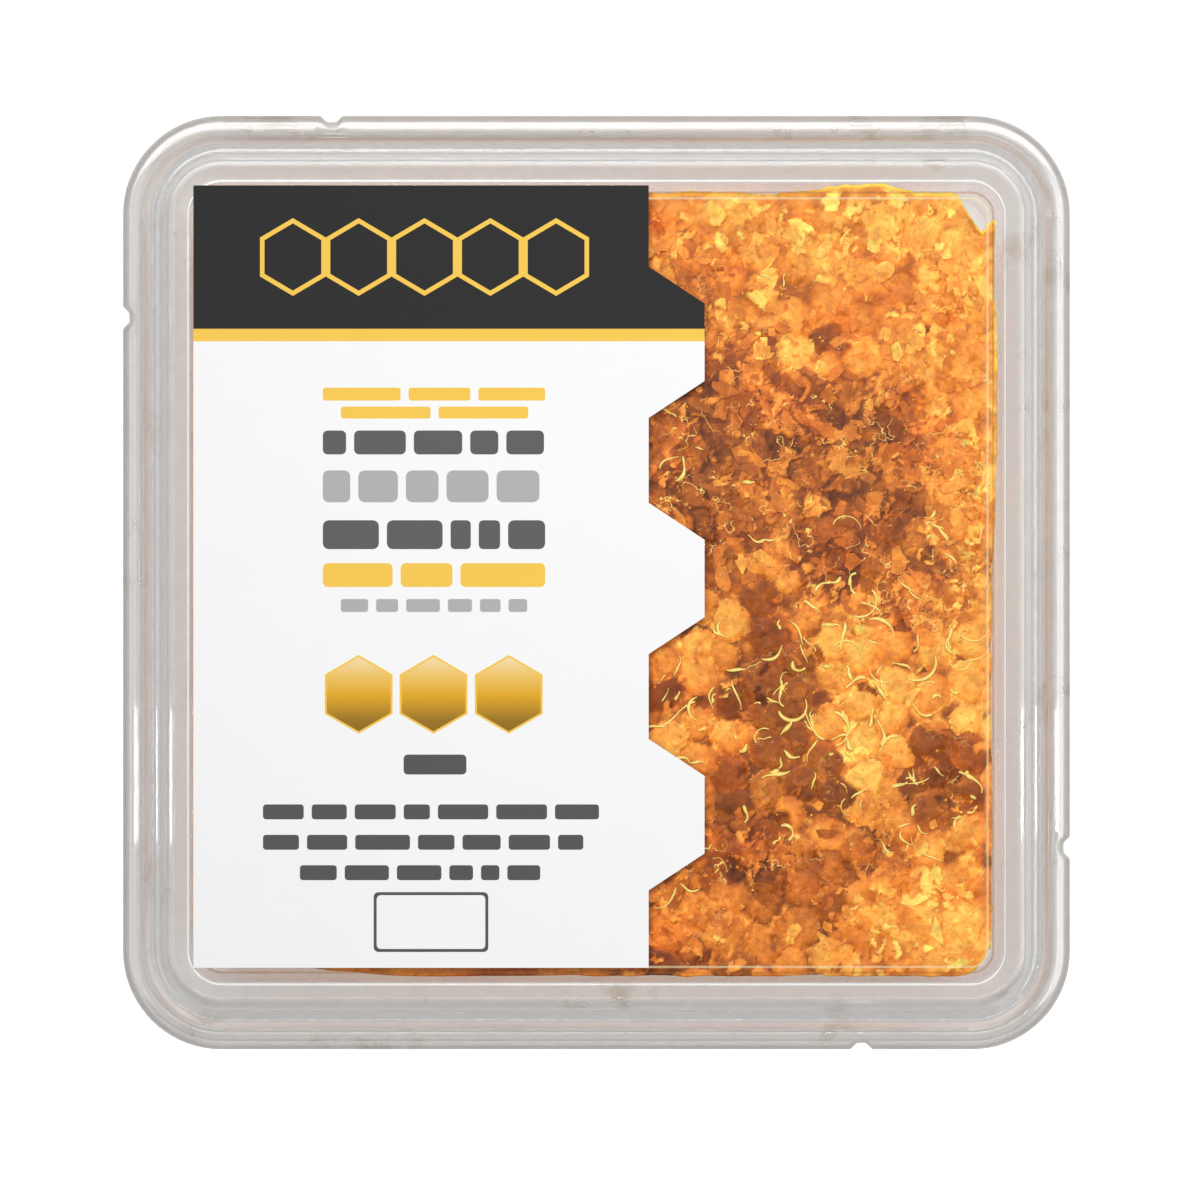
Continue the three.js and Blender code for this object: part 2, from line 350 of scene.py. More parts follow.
def moved(corners, distance):
    """The profile moved down or out by a wall's thickness."""
    ends = [np.array(c[:2], float) for c in corners]
    along = [unit(b - a) for a, b in zip(ends, ends[1:])]
    out = [np.array([-a[1], a[0]]) for a in along]
    made = []
    for i, (x, z, radius) in enumerate(corners):
        before, after = max(i - 1, 0), min(i, len(along) - 1)
        mitre = (out[before] + out[after]) * distance / (1 + out[before] @ out[after])
        a, b = along[before], along[after]
        turn = np.sign(a[0] * b[1] - a[1] * b[0])
        radius = max(radius - turn * distance, 0.15) if radius else 0
        made.append([x + mitre[0], z + mitre[1], radius])
    return made


def filleted(corners):
    """The profile with each fillet drawn as an arc."""
    made = []
    for i, (x, z, radius) in enumerate(corners):
        if not radius:
            made.append((x, z))
            continue
        corner = np.array([x, z])
        back, on = (unit(np.array(corners[k][:2]) - corner) for k in (i - 1, i + 1))
        half = math.acos(np.clip(back @ on, -1, 1)) / 2
        centre = corner + unit(back + on) * radius / math.sin(half)
        spoke = corner + back * radius / math.tan(half) - centre
        to_corner = corner - centre
        turn = np.sign(spoke[0] * to_corner[1] - spoke[1] * to_corner[0]) * (math.pi - 2 * half)
        for k in range(FILLET_STEPS + 1):
            angle = turn * k / FILLET_STEPS
            c, s = math.cos(angle), math.sin(angle)
            turned = spoke[0] * c - spoke[1] * s, spoke[0] * s + spoke[1] * c
            made.append((centre[0] + turned[0], centre[1] + turned[1]))
    return made


def smoothstep(t):
    t = np.clip(t, 0, 1)
    return t * t * (3 - 2 * t)


HALF_NOTCH = (0.25, 0.5, 0.7, 0.95, 1.2, 1.45, 1.7, 2.2)
NOTCH_STEPS = (*(-t for t in reversed(HALF_NOTCH)), 0, *HALF_NOTCH)


def ring_at(inset, z, notch):
    """The rounded square at an inset, anticlockwise from above, pushed in at the notches."""
    radius = RADIUS - inset
    ring = []
    for quarter in range(4):
        right, up = (1, -1, -1, 1)[quarter], (1, 1, -1, -1)[quarter]
        for k in range(CORNER_STEPS + 1):
            angle = (quarter + k / CORNER_STEPS) * math.pi / 2
            x = right * (WIDTH / 2 - RADIUS) + radius * math.cos(angle)
            y = up * (LENGTH / 2 - RADIUS) + radius * math.sin(angle)
            ring.append((x, y, z))
        outward = (quarter + 1) * math.pi / 2
        nx, ny = round(math.cos(outward)), round(math.sin(outward))
        reach = (WIDTH if nx else LENGTH) / 2 - inset
        middle = NOTCH_AT if quarter % 2 == 0 else -NOTCH_AT
        for t in NOTCH_STEPS:
            push = notch * float(smoothstep((1.6 - abs(t)) / 1.15))
            s = middle + t
            ring.append((nx * (reach - push) - ny * s, ny * (reach - push) + nx * s, z))
    return ring


def shell(name, face_corners, materials, slot, node, material_of, notched=False):
    """A shell of even thickness, with its face given from the middle out."""
    face = filleted(face_corners)
    back = filleted(moved(face_corners, WALL))[::-1]
    rings = []
    for skin, depth in ((face, NOTCH_DEPTH), (back, 0.25)):
        for inset, z in skin:
            notch = depth * float(smoothstep((2.4 - inset) / 1.4)) if notched else 0
            rings.append(ring_at(inset, z, notch))
    profile = face + back
    which = []
    for a, b in zip(profile, profile[1:]):
        which += [material_of((a[0] + b[0]) / 2, (a[1] + b[1]) / 2)] * len(rings[0])
    which += [material_of(*profile[0])] * 2
    piece = make_piece(name, *loft(rings), materials, slot, [node], which)
    piece.modifiers.new("even shading", "WEIGHTED_NORMAL").keep_sharp = False
    let_light_through(piece)
    return piece


# One clear plastic in copies by part. The groove, wall, foot and floor copies are made darker:
# painted shade for the parts that lie deep in the pack.
rim_look = clear_plastic("clear_rim", 0.24, 0.8, 0.8, (0.96, 0.955, 0.93), (0.84, 0.84, 0.835))
groove_shaded_look = clear_plastic("clear_groove_shaded", 0.2, 0.8, 0.6, (0.84, 0.835, 0.83), (0.71, 0.71, 0.71))
panel_look = clear_plastic("clear_panel", 0.0, 0.2, 0.03, (0.8, 0.8, 0.78), (0.99, 0.99, 0.99))
wall_shaded_look = clear_plastic("clear_wall_shaded", 0.02, 0.3, 0.32, (0.52, 0.515, 0.5), (0.92, 0.92, 0.915))
steep_look = clear_plastic("clear_steep", 0.3, 0.85, 0.15, (0.97, 0.965, 0.955), (0.92, 0.92, 0.92))
foot_shaded_look = clear_plastic("clear_foot_shaded", 0.02, 0.3, 0.32, (0.52, 0.515, 0.5), (0.8, 0.795, 0.79))
floor_shaded_look = clear_plastic("clear_floor_shaded", 0.0, 0.2, 0.1, (0.7, 0.7, 0.68), (0.68, 0.67, 0.665))


def lid_part(inset, z):
    """The number of the look of a part of the lid."""
    rim, panel, groove, steep = range(4)
    if inset > LEDGE_INSET + 0.4:
        return panel
    if 2.6 < inset < 5.9 and 27.2 < z < 29.8:
        return steep
    return groove if 3.1 < inset < 5.7 else rim


def tub_part(inset, z):
    """The number of the look of a part of the tub."""
    rim, wall, foot, floor = range(4)
    if z > 22:
        return rim
    if inset > 9.5:
        return floor
    return foot if z < 2 else wall


LID_PROFILE = (
    (PANEL_INSET + 1, PANEL_Z, 0), (PANEL_INSET + 0.1, PANEL_Z, 0), (PANEL_INSET - 0.1, LEDGE_Z, 0),
    (LEDGE_INSET, LEDGE_Z, 0.8), (7, 29.5, 0.5), (5.9, 29.5, 0.5), (4.9, 26.9, 0.6),
    (3.4, 26.9, 0.6), (RIM_INSET, HEIGHT, 0.9), (0, HEIGHT, 1.1), (0, 24.4, 0),
)
TUB_PROFILE = (
    (12, WALL, 0), (11, WALL, 0), (10.5, WALL + 0.3, 0), (8.6, WALL + 0.3, 1.4), (5.3, 24, 0.5),
    (1.9, 25.2, 0.9), (1.9, 29.1, 0),
)
lid_looks = [rim_look, panel_look, groove_shaded_look, steep_look]
tub_looks = [rim_look, wall_shaded_look, foot_shaded_look, floor_shaded_look]
shell("clear_lid", LID_PROFILE, lid_looks, "clear_lid", "lid", lid_part, notched=True)
shell("clear_tub", TUB_PROFILE, tub_looks, "clear_tub", "tub", tub_part)


def panel_line(name, inset, height, look, thin=1.0):
    """A fine strip round the lid's panel, where its edge steps, coloured by its look as a painted
    line. Thin narrows it left and right.
    """
    sides = (-LINE_REACH, 0, LINE_REACH)
    outer, middle, inner = (np.array(ring_at(inset + side, 0, 0))[:, :2] for side in sides)
    rise = smoothstep((np.abs(middle[:, 1]) - LENGTH / 2 + RADIUS) / (RADIUS - inset))
    share = (thin + (1 - thin) * rise)[:, None]
    outer, inner = middle + (outer - middle) * share, middle + (inner - middle) * share
    line = frame_plate(outer, inner, height - 0.1, height + INK)
    let_light_through(make_piece(name, *line, [look], "clear_lid", smooth=False))


# Painted lines on the lid: where the panel steps, a dark line of painted shade and a yellow line of
# painted highlight, and a white painted highlight at the foot of the slope, narrower left and
# right.
step_shade_look = clear_plastic("clear_step_shade", 0.1, 0.3, 0.1, (0.4, 0.26, 0.14), (0.95, 0.88, 0.81))
glint_look = clear_plastic("clear_glint", 0.24, 0.5, 0.1, (0.95, 0.85, 0.5), (1.0, 1.0, 0.99))
panel_line("panel_step_shade", 10.2, LEDGE_Z, step_shade_look)
panel_line("panel_glint", 10.98, PANEL_Z, glint_look)
bright_glint_look = clear_plastic("clear_bright_glint", 0.62, 0.8, 0.1, (1.0, 1.0, 0.99), (1.0, 1.0, 1.0))
panel_line("slope_glint", 8.6, LEDGE_Z + 0.06, bright_glint_look, 0.3)


# Seeded patterns for the comb, for whole arrays of places at once


def chance(i, j, seed):
    """A number from 0 to 1 for each pair of whole numbers."""
    i, j = i.astype(np.int64), j.astype(np.int64)
    n = (i * 374761393 + j * 668265263 + seed * 974634777) & 0xFFFFFFFF
    n = ((n ^ (n >> 13)) * 1274126177) & 0xFFFFFFFF
    n = ((n ^ (n >> 15)) * 2246822519) & 0xFFFFFFFF
    return ((n ^ (n >> 16)) & 0xFFFFFF) / 0xFFFFFF


def noise(x, y, size, seed):
    """Smooth noise from 0 to 1 with bumps of that size."""
    u, v = x / size, y / size
    i, j = np.floor(u), np.floor(v)
    f, g = smoothstep(u - i), smoothstep(v - j)
    low = chance(i, j, seed) * (1 - f) + chance(i + 1, j, seed) * f
    high = chance(i, j + 1, seed) * (1 - f) + chance(i + 1, j + 1, seed) * f
    return low * (1 - g) + high * g


def clouds(x, y, size, seed, octaves=4, fade=0.55):
    """Noise with finer noise on it, from about -1 to 1."""
    total, weight, reach = 0, 1.0, 0.0
    for k in range(octaves):
        total = total + weight * (noise(x, y, size / 2**k, seed + 31 * k) * 2 - 1)
        reach += weight
        weight *= fade
    return total / reach * 1.6


def warped(x, y, size, amount, seed):
    """The places, pushed about so that straight edges turn ragged."""
    return x + amount * clouds(x, y, size, seed, 3), y + amount * clouds(x, y, size, seed + 7, 3)


def near_cells(x, y, pitch, jitter, seed):
    """The nine cells nearest to each place: their columns, rows, middles and distances."""
    step = pitch * math.sqrt(3) / 2
    for dc in (-1, 0, 1):
        column = np.round(x / step) + dc
        shift = np.mod(column, 2) * 0.5
        for dr in (-1, 0, 1):
            row = np.round(y / pitch - shift) + dr
            cx = column * step + (chance(column, row, seed) - 0.5) * jitter * pitch
            cy = (row + shift) * pitch + (chance(column, row, seed + 1) - 0.5) * jitter * pitch
            yield column, row, cx, cy, np.hypot(x - cx, y - cy)


def cells(x, y, pitch, jitter, seed):
    """For each place: its cell's column and row, and how far its middle and the next one's are."""
    kept = [np.zeros(x.shape), np.zeros(x.shape), np.full(x.shape, 1e9)]
    second = kept[2]
    for column, row, _, _, d in near_cells(x, y, pitch, jitter, seed):
        nearer = d < kept[2]
        second = np.where(nearer, kept[2], np.minimum(second, d))
        kept = [np.where(nearer, *pair) for pair in zip((column, row, d), kept)]
    return *kept, second


def caps(x, y, pitch, jitter, seed):
    """The topmost cap at each place: two chance numbers, how far out the place is, its middle."""
    kept = [np.full(x.shape, value) for value in (-1.0, 1.0, 0.0, 1.3)] + [x, y]
    for c, r, cx, cy, d in near_cells(x, y, pitch, jitter, seed):
        out = d / (pitch * (0.45 + 0.14 * chance(c, r, seed + 2)))
        height, luck, second = (chance(c, r, seed + k) for k in (3, 5, 6))
        over = (out < 1) & (height > kept[0])
        kept = [np.where(over, *pair) for pair in zip((height, luck, second, out, cx, cy), kept)]
    return kept[1:]


def patches(x, y, spots):
    """Soft ragged patches, each (pixel x, pixel y, half width, half height, strength)."""
    total = np.zeros(x.shape)
    wx, wy = warped(x, y, 6, 1.6, 91)
    for px, py, half_w, half_h, strength in spots:
        cx, cy = mm(px, py)
        reach = np.hypot((wx - cx) / (half_w * PIXEL), (wy - cy) / (half_h * PIXEL))
        total = total + strength * (1 - smoothstep((reach - 0.55) / 0.9))
    return total


# Where the comb is dark with honey, and where it is pale with loose wax
DARK_SPOTS = (
    (800, 470, 150, 90, 0.2), (690, 500, 50, 90, 0.18), (870, 545, 70, 50, 0.16),
    (762, 650, 30, 60, 0.42), (790, 700, 34, 46, 0.42), (780, 770, 76, 26, 0.4),
    (790, 860, 100, 60, 0.2), (735, 860, 60, 90, 0.16), (942, 780, 42, 56, 0.42),
    (700, 965, 70, 24, 0.12), (675, 290, 45, 50, 0.1), (700, 262, 26, 18, 0.22),
    (798, 292, 22, 24, 0.26), (735, 285, 30, 24, 0.16), (900, 480, 60, 50, 0.1),
    (720, 400, 70, 60, 0.14), (855, 590, 36, 24, 0.2), (940, 370, 60, 30, 0.1),
)
PALE_SPOTS = (
    (740, 200, 50, 22, 0.2), (890, 210, 90, 44, 0.2), (950, 200, 50, 30, 0.2),
    (835, 250, 40, 60, 0.14), (930, 300, 60, 80, 0.06), (970, 415, 34, 60, 0.26),
    (965, 510, 50, 60, 0.14), (785, 355, 50, 16, 0.2), (720, 620, 70, 60, 0.06),
    (830, 660, 50, 60, 0.08), (890, 690, 60, 60, 0.1), (860, 765, 26, 28, 0.5),
    (935, 935, 60, 34, 0.34), (722, 920, 24, 26, 0.26), (870, 910, 20, 24, 0.28),
    (925, 885, 26, 34, 0.22), (690, 740, 40, 30, 0.08), (960, 870, 40, 50, 0.1),
)
DULL_SPOTS = ((790, 900, 140, 50, 0.16), (680, 940, 40, 40, 0.1), (880, 870, 60, 30, 0.12))
# Where the caps are crushed small, and where they have come off as flakes
CRUSHED_SPOTS = (
    (800, 470, 230, 120, 1.0), (700, 360, 80, 60, 0.8), (900, 590, 90, 50, 0.8),
    (790, 850, 120, 40, 0.7), (960, 790, 40, 50, 0.5),
)
FLAKE_SPOTS = (
    (830, 230, 260, 90, 1.2), (940, 930, 110, 60, 0.9), (980, 420, 50, 160, 0.8),
    (700, 920, 50, 40, 0.5),
)

# The comb's colours from the darkest honey to the palest wax
PALETTE = (
    (0.0, (96, 45, 14)), (0.12, (130, 67, 22)), (0.27, (158, 86, 31)), (0.42, (190, 107, 38)),
    (0.56, (219, 130, 49)), (0.7, (242, 157, 63)), (0.84, (253, 191, 85)), (1.0, (255, 231, 112)),
)


def coloured(tone, warmth):
    """Colours from the palette, a little redder where warmth is high."""
    at = [p[0] for p in PALETTE]
    shades = np.array([linear(*p[1]) for p in PALETTE])
    colour = np.stack([np.interp(tone, at, shades[:, k]) for k in range(3)], axis=-1)
    shift = np.stack([1 + 0.03 * warmth, 1 - 0.12 * warmth, 1 - 0.16 * warmth], axis=-1)
    return np.clip(colour * shift, 0, 1)


def flakes(x, y, size, seed, cover, turn, stretch):
    """Ragged flakes: how far each place is covered, and a chance number of the flake's own."""
    c, s = math.cos(turn), math.sin(turn)
    u, v = (x * c + y * s) / stretch, (y * c - x * s) * stretch
    u, v = warped(u, v, size * 0.5, size * 0.2, seed)
    column, row, d1, d2 = cells(u, v, size, 0.95, seed)
    reach = size * (0.3 + 0.4 * chance(column, row, seed + 4))
    there = smoothstep((reach - d1) / (0.05 * size)) * smoothstep((d2 - d1) / (0.06 * size))
    return there * (chance(column, row, seed + 3) < cover), chance(column, row, seed + 5)


def laid(tone, x, y, size, seed, cover, low, high, turn=0.0, stretch=1.0, shade=0.2):
    """Flakes laid over the tone, with a thin shadow at their lower right."""
    there, luck = flakes(x, y, size, seed, cover, turn, stretch)
    shadow, _ = flakes(x - 0.22, y + 0.22, size, seed, cover, turn, stretch)
    tone = tone - shade * shadow * (1 - there)
    own = low + (high - low) * luck + 0.05 * noise(x + y, y - x, 1.1, seed + 9)
    return tone + (own - tone) * there, there


def paint_comb(x, y, seed, loose):
    """The colour, with the share of thin lines, and the height of the comb's face at each place.

    Loose is whether patches and flakes lie on it.
    """
    spots = (PALE_SPOTS, DARK_SPOTS, DULL_SPOTS, CRUSHED_SPOTS, FLAKE_SPOTS) if loose else ((),) * 5
    light = patches(x, y, spots[0]) - patches(x, y, spots[1])
    crushed, flaked = patches(x, y, spots[3]), patches(x, y, spots[4])
    crushed = smoothstep((crushed + 0.5 * clouds(x, y, 4, seed + 70, 3) - 0.4) * 3)
    flaked = smoothstep((flaked + 0.35 * clouds(x, y, 5, seed + 71, 3) - 0.3) * 4)
    # Whole caps, rounded and close together, some of them dark with the honey behind
    wx, wy = warped(x, y, 1.5, 0.26, seed)
    wx, wy = warped(wx, wy, 3.6, 0.55, seed + 2)
    luck, second, out, middle_x, middle_y = caps(wx, wy, CAP_PITCH, 0.36, seed)
    own, own_dark, dull = (patches(middle_x, middle_y, table) for table in spots[:3])
    own = 0.8 * (own - own_dark) + 0.2 * light
    is_dark = luck < 0.1 - 1.9 * own
    # Painted shading: each cap is painted darker towards its edge and lighter at its upper left,
    # darker at its lower right, as if lit from the upper left; dark caps grow a little lighter
    # towards their edges.
    edge = smoothstep((out - 0.6) / 0.4)
    painted_light_side = (wy - middle_y - wx + middle_x) / CELL
    messy = clouds(x, y, 1.7, seed + 9, 3)
    gap = np.clip(0.42 + 0.7 * light + 0.42 * messy, 0.12, 1)
    cap = 0.62 + 0.2 * second + 0.45 * own - 0.08 * edge + 0.1 * painted_light_side - dull * (0.4 + second)
    dark = 0.1 + 0.24 * second + 0.08 * edge + 0.06 * painted_light_side
    cap = np.where(out > 1, gap, np.where(is_dark, dark, cap))
    cap = cap + 0.07 * clouds(x, y, 2.4, seed + 8, 3)
    # Painted shade in a dark line under a cap's edge, and a painted glint in a bright line along
    # part of its rim
    rim = 1 - smoothstep(np.abs(out - 0.98 + 0.06 * messy) / 0.08)
    glint_or_shade_pick = clouds(wx, wy, 2.6, seed + 12, 3)
    cap = cap + rim * np.where(glint_or_shade_pick > 0.42, 0.24, -0.14 * (glint_or_shade_pick < 0.1))
    # Crushed caps, folded together
    sx, sy = warped(x, y, 4, 1.2, seed + 50)
    sx, sy = warped(sx, sy, 1.8, 0.5, seed + 54)
    _, second2, out2, _, _ = caps(wx, wy, 4.9, 0.5, seed + 56)
    edge2 = smoothstep((out2 - 0.6) / 0.4)
    # Crushed caps are painted darker towards their edges, as painted shade.
    crush = np.where(out2 > 1, 0.3, 0.26 + 0.44 * second2 - 0.12 * edge2) + 0.6 * light
    crush = crush + 0.1 * clouds(sx, sy, 2, seed + 53, 4)
    crush, _ = laid(crush, sx, sy, 3.0, seed + 51, 0.26, 0.26, 0.66, 0.4, 1.2, 0.15)
    crush, _ = laid(crush, sx, sy, 2.1, seed + 52, 0.2, 0.36, 0.82, 1.2, 1.3, 0.15)
    # Flakes of loose wax, over orange wax
    # Painted shade darkens the orange wax towards each cap's edge.
    pale = 0.55 + 0.2 * second + 0.4 * light - 0.1 * edge + 0.08 * clouds(x, y, 2.5, seed + 63, 3)
    pale, _ = laid(pale, wx, wy, 5.0, seed + 61, 0.6, 0.5 + 0.3 * light, 0.84, 0.5, 1.1, 0.15)
    pale, on_top = laid(pale, wx, wy, 3.4, seed + 62, 0.4, 0.5 + 0.3 * light, 0.92, 1.9, 1.25, 0.2)
    tone = cap + (crush - cap) * crushed
    tone = tone + (pale - tone) * flaked
    # Small flakes and small dark holes everywhere, fewest on the whole caps
    strewn = 0.04 + 0.09 * crushed + 0.05 * flaked
    bits = 0
    for k, (size, low, high) in enumerate(((1.9, 0.5, 0.82), (1.5, 0.44, 0.88), (1.2, 0.4, 0.96))):
        ends = low + light, high + light, 0.7 + 1.1 * k
        tone, one = laid(tone, sx, sy, size, seed + 80 + 2 * k, strewn, *ends, 1.25, 0.12)
        bits = np.maximum(bits, one)
    hole, depth = flakes(wx, wy, 2.4, seed + 86, 0.1, 0.9, 1.1)
    tone = tone + (0.2 + 0.14 * depth - tone) * hole * (1 - flaked) * np.maximum(crushed, out > 0.8)
    # Fine folds where the wax is crushed, painted as bright lines of highlight on some and dark
    # lines of shade on others
    fold = clouds(sx, sy, 2.4, seed + 88, 4)
    thin = 1 - smoothstep(np.abs(fold) / 0.06)
    choose = noise(x, y, 1.7, seed + 89)
    tone = tone + thin * crushed * np.where(choose > 0.6, 0.26, -0.1)
    tone = tone + 0.05 * clouds(x, y, 0.9, seed + 81, 2) + 0.04 * clouds(x, y, 7, seed + 82, 3)
    warmth = clouds(x, y, 6, seed + 90, 4) + 0.5 * (second - 0.5)
    lines = np.clip(0.25 + 0.75 * crushed - 0.1 * flaked, 0, 1)
    colour = np.concatenate([coloured(tone, warmth), lines[..., None]], axis=-1)
    height = -0.3 + 0.2 * (1 - edge) * (1 - crushed) + 0.14 * on_top * flaked
    height = height + 0.08 * bits - 0.15 * hole + 0.1 * crushed * (crush - 0.4)
    return colour, height


# The comb: a face above, a face below, and the cut side with the cells' channels

TOP_EDGE = (
    (-54, 51.0), (-53, 52.3), (-51.6, 52.6), (6, 52.4), (16, 52.75), (24, 52.3), (30, 53.1),
    (33, 53.7), (38.5, 53.75), (40, 53.3), (44, 52.7), (47.8, 52.8), (48.7, 52.2), (50, 50),
    (51.3, 48.1), (52.1, 47.2), (52.9, 48), (53.4, 48.8), (54.2, 48.4),
)
BOTTOM_EDGE = (
    (-54, -49.6), (-42.6, -51.4), (-34, -52.6), (-27, -53.1), (0, -53.0), (50.3, -53.0),
    (51.6, -52.3), (52.9, -50.6), (53.6, -49.4), (54.2, -49),
)
RIGHT_EDGE = (
    (-50, 53.3), (-36, 53.4), (-16, 53.3), (2, 53.4), (9, 53.8), (20, 54.1), (36, 54.1),
    (38, 53.6), (43, 53.6), (49, 54.0),
)


def teeth():
    """The card's right edge from the bottom to the top."""
    edge = [(VALLEY, BOTTOM)]
    for tooth in (2, 1, 0):
        start = TEETH_TOP - tooth * TOOTH_PITCH
        low = start - TOOTH_FLAT - 2 * TOOTH_SLANT
        edge += [(VALLEY, low), (PEAK, start - TOOTH_FLAT - TOOTH_SLANT)]
        edge += [(PEAK, start - TOOTH_SLANT), (VALLEY, start)]
    return edge + [(VALLEY, TOP)]


def along(edge, at):
    """The edge's value at each place, as straight runs between its points."""
    return np.interp(at, [p[0] for p in edge], [p[1] for p in edge])


def comb_places(xs, rows):
    """A grid of places that fills the comb's outline."""
    share = np.linspace(0, 1, rows)
    low = along(BOTTOM_EDGE, xs) + 0.14 * clouds(xs, xs * 0, 3, 5, 3)
    high = along(TOP_EDGE, xs) + 0.24 * clouds(xs, xs * 0, 2.4, 6, 4, 0.7)
    y = low[None, :] + share[:, None] * (high - low)[None, :]
    x = np.broadcast_to(xs[None, :], y.shape).copy()
    pull = smoothstep((x - 46) / 8)
    x += pull * (along(RIGHT_EDGE, y) - 54.0 + 0.12 * clouds(y, x * 0, 2.2, 8, 3))
    x += (1 - smoothstep((x + 54) / 6)) * 0.3 * clouds(y, x * 0, 4, 9, 3)
    return x, y


def grid_faces(rows, columns, flip=False):
    start = (np.arange(rows - 1)[:, None] * columns + np.arange(columns - 1)[None, :]).ravel()
    quad = np.stack([start, start + 1, start + columns + 1, start + columns], axis=1)
    return quad[:, ::-1] if flip else quad


def loop_of(rows, columns):
    """The grid's border, anticlockwise from above."""
    grid = np.arange(rows * columns).reshape(rows, columns)
    return np.concatenate([grid[0, :-1], grid[:-1, -1], grid[-1, :0:-1], grid[:0:-1, 0]])


comb_material = comb_look("comb_wax_and_honey")

# The left of the face is under the label, so its columns stand wider apart
FACE_COLUMNS = np.concatenate([np.arange(-54, 3, 3.0), np.arange(3, 54.01, 0.247)])
FACE_ROWS = 430
ROW_STEP = 0.246
face_x, face_y = comb_places(FACE_COLUMNS, FACE_ROWS)
face_colour, face_height = paint_comb(face_x, face_y, 11, True)
row_numbers = np.arange(FACE_ROWS)
from_edge = np.minimum(row_numbers, row_numbers[::-1])[:, None] * ROW_STEP
from_edge = np.minimum(from_edge, 54 - np.abs(face_x))
border = 1 - smoothstep(from_edge / 0.8)
# The torn edges along the top and the right are bright, and brightest near the corner
torn = (1 - smoothstep(from_edge / 1.1)) * ((face_y > 40) | (face_x > 50))
torn = np.clip(torn * (0.6 + 0.3 * clouds(face_x, face_y, 2, 3)), 0, 1)
lip = (1 - smoothstep((from_edge - 0.15) / 0.4)) * smoothstep((face_x - 28) / 6)
lip = lip * smoothstep((face_y - 26) / 8)
for share, pale in ((torn, np.array(TORN)), (lip, np.array(LIP) * 1.1)):
    face_colour[..., :3] += (pale - face_colour[..., :3]) * share[..., None]
face_z = COMB_TOP + np.minimum(face_height, 0.25) - 0.35 * border
# The comb is darker close to the card, where less light reaches it
card_edge = along([(y, x) for x, y in teeth()], face_y)
shade = 0.4 * np.exp(-np.maximum(face_x - card_edge, 0) / 1.1)
face_colour[..., :3] *= 1 - shade[..., None] * np.array([0.75, 0.95, 1.0])


def comb_face():
    """The face, with a narrow skirt that reaches down behind the cut side."""
    points = np.stack([face_x, face_y, face_z], axis=-1).reshape(-1, 3)
    loop = loop_of(*face_x.shape)
    skirt = points[loop] * (0.994, 0.994, 1)
    skirt[:, 2] = COMB_TOP - 1.4
    paint = face_colour.reshape(-1, 4)
    faces = grid_faces(*face_x.shape).tolist()
    for k in range(len(loop)):
        after = (k + 1) % len(loop)
        faces.append((loop[k], len(points) + k, len(points) + after, loop[after]))
    points, paint = np.concatenate([points, skirt]), np.concatenate([paint, paint[loop]])
    make_piece("comb_face", points, faces, [comb_material], "comb", ["comb"], paint=paint)


def comb_body():
    """The cut side below the face, and the back."""
    xs, rows = np.arange(-54, 54.01, 0.6), 178
    x, y = comb_places(xs, rows)
    colour, height = paint_comb(x, y, 23, False)
    back = np.stack([x, y, COMB_BOTTOM + 0.3 - height * 0.6], axis=-1).reshape(-1, 3)
    loop = loop_of(rows, len(xs))
    ring = back[loop][:, :2]
    step = np.roll(ring, -1, axis=0) - ring
    run = np.concatenate([[0], np.cumsum(np.hypot(*step.T))[:-1]])
    normal = np.stack([step[:, 1], -step[:, 0]], axis=1)
    normal = normal + np.roll(normal, 1, axis=0)
    normal /= np.linalg.norm(normal, axis=1)[:, None]
    levels = np.linspace(COMB_BOTTOM + 0.5, COMB_TOP - 0.5, 44)
    points, paint = [back], [colour.reshape(-1, 4)]
    for z in levels:
        middle = (COMB_BOTTOM + COMB_TOP) / 2 + 0.35 * clouds(run, run * 0, 8, 71, 2)
        above = z > middle
        wander = clouds(run, run * 0 + z, 7, 72, 3)
        phase = (run + 0.5 * wander) / (CELL * 0.9) + np.where(above, 0, 0.5)
        column = np.floor(phase)
        t = phase - column
        luck = chance(column, above.astype(float), 73)
        channel = np.sin(np.pi * t) ** 0.6
        rib = 1 - smoothstep((np.abs(z - middle) - 0.25) / 0.5)
        depth = 0.7 * channel * (1 - rib) * (0.5 + 0.5 * luck)
        wax = np.clip(1.15 - channel * 1.3 + rib, 0, 1)
        tone = 0.48 + 0.24 * luck + 0.1 * wander + 0.4 * wax * (0.6 + 0.4 * luck)
        tone = tone + 0.1 * clouds(run, run * 0 + z, 1.5, 74, 3)
        spot = ring - normal * (depth + 0.15)[:, None]
        points.append(np.column_stack([spot, np.full(len(run), z)]))
        paint.append(np.column_stack([coloured(tone, wander), 0.3 + 0 * run]))
    points, paint = np.concatenate(points), np.concatenate(paint)
    count = len(loop)
    faces = grid_faces(rows, len(xs), flip=True).tolist()
    base = len(back)
    for k in range(count):
        after = (k + 1) % count
        faces.append((loop[after], loop[k], base + k, base + after))
        for level in range(len(levels) - 1):
            low = base + level * count
            high = low + count
            faces.append((low + after, low + k, high + k, high + after))
    make_piece("comb_body", points, faces, [comb_material], "comb", ["comb"], paint=paint)


comb_face()
comb_body()


def tube(path, radii, sides=6):
    """A closed tube along a path, with a radius at each point."""
    path = np.asarray(path, float)
    heading = np.gradient(path, axis=0)
    heading /= np.linalg.norm(heading, axis=1)[:, None]
    side = np.cross(heading, [0, 0, 1])
    side /= np.linalg.norm(side, axis=1)[:, None]
    up = np.cross(side, heading)
    angles = np.arange(sides) * 2 * np.pi / sides
    cos, sin = np.cos(angles)[None, :, None], np.sin(angles)[None, :, None]
    ring = side[:, None] * cos + up[:, None] * sin
    return loft(path[:, None] + ring * np.asarray(radii)[:, None, None])


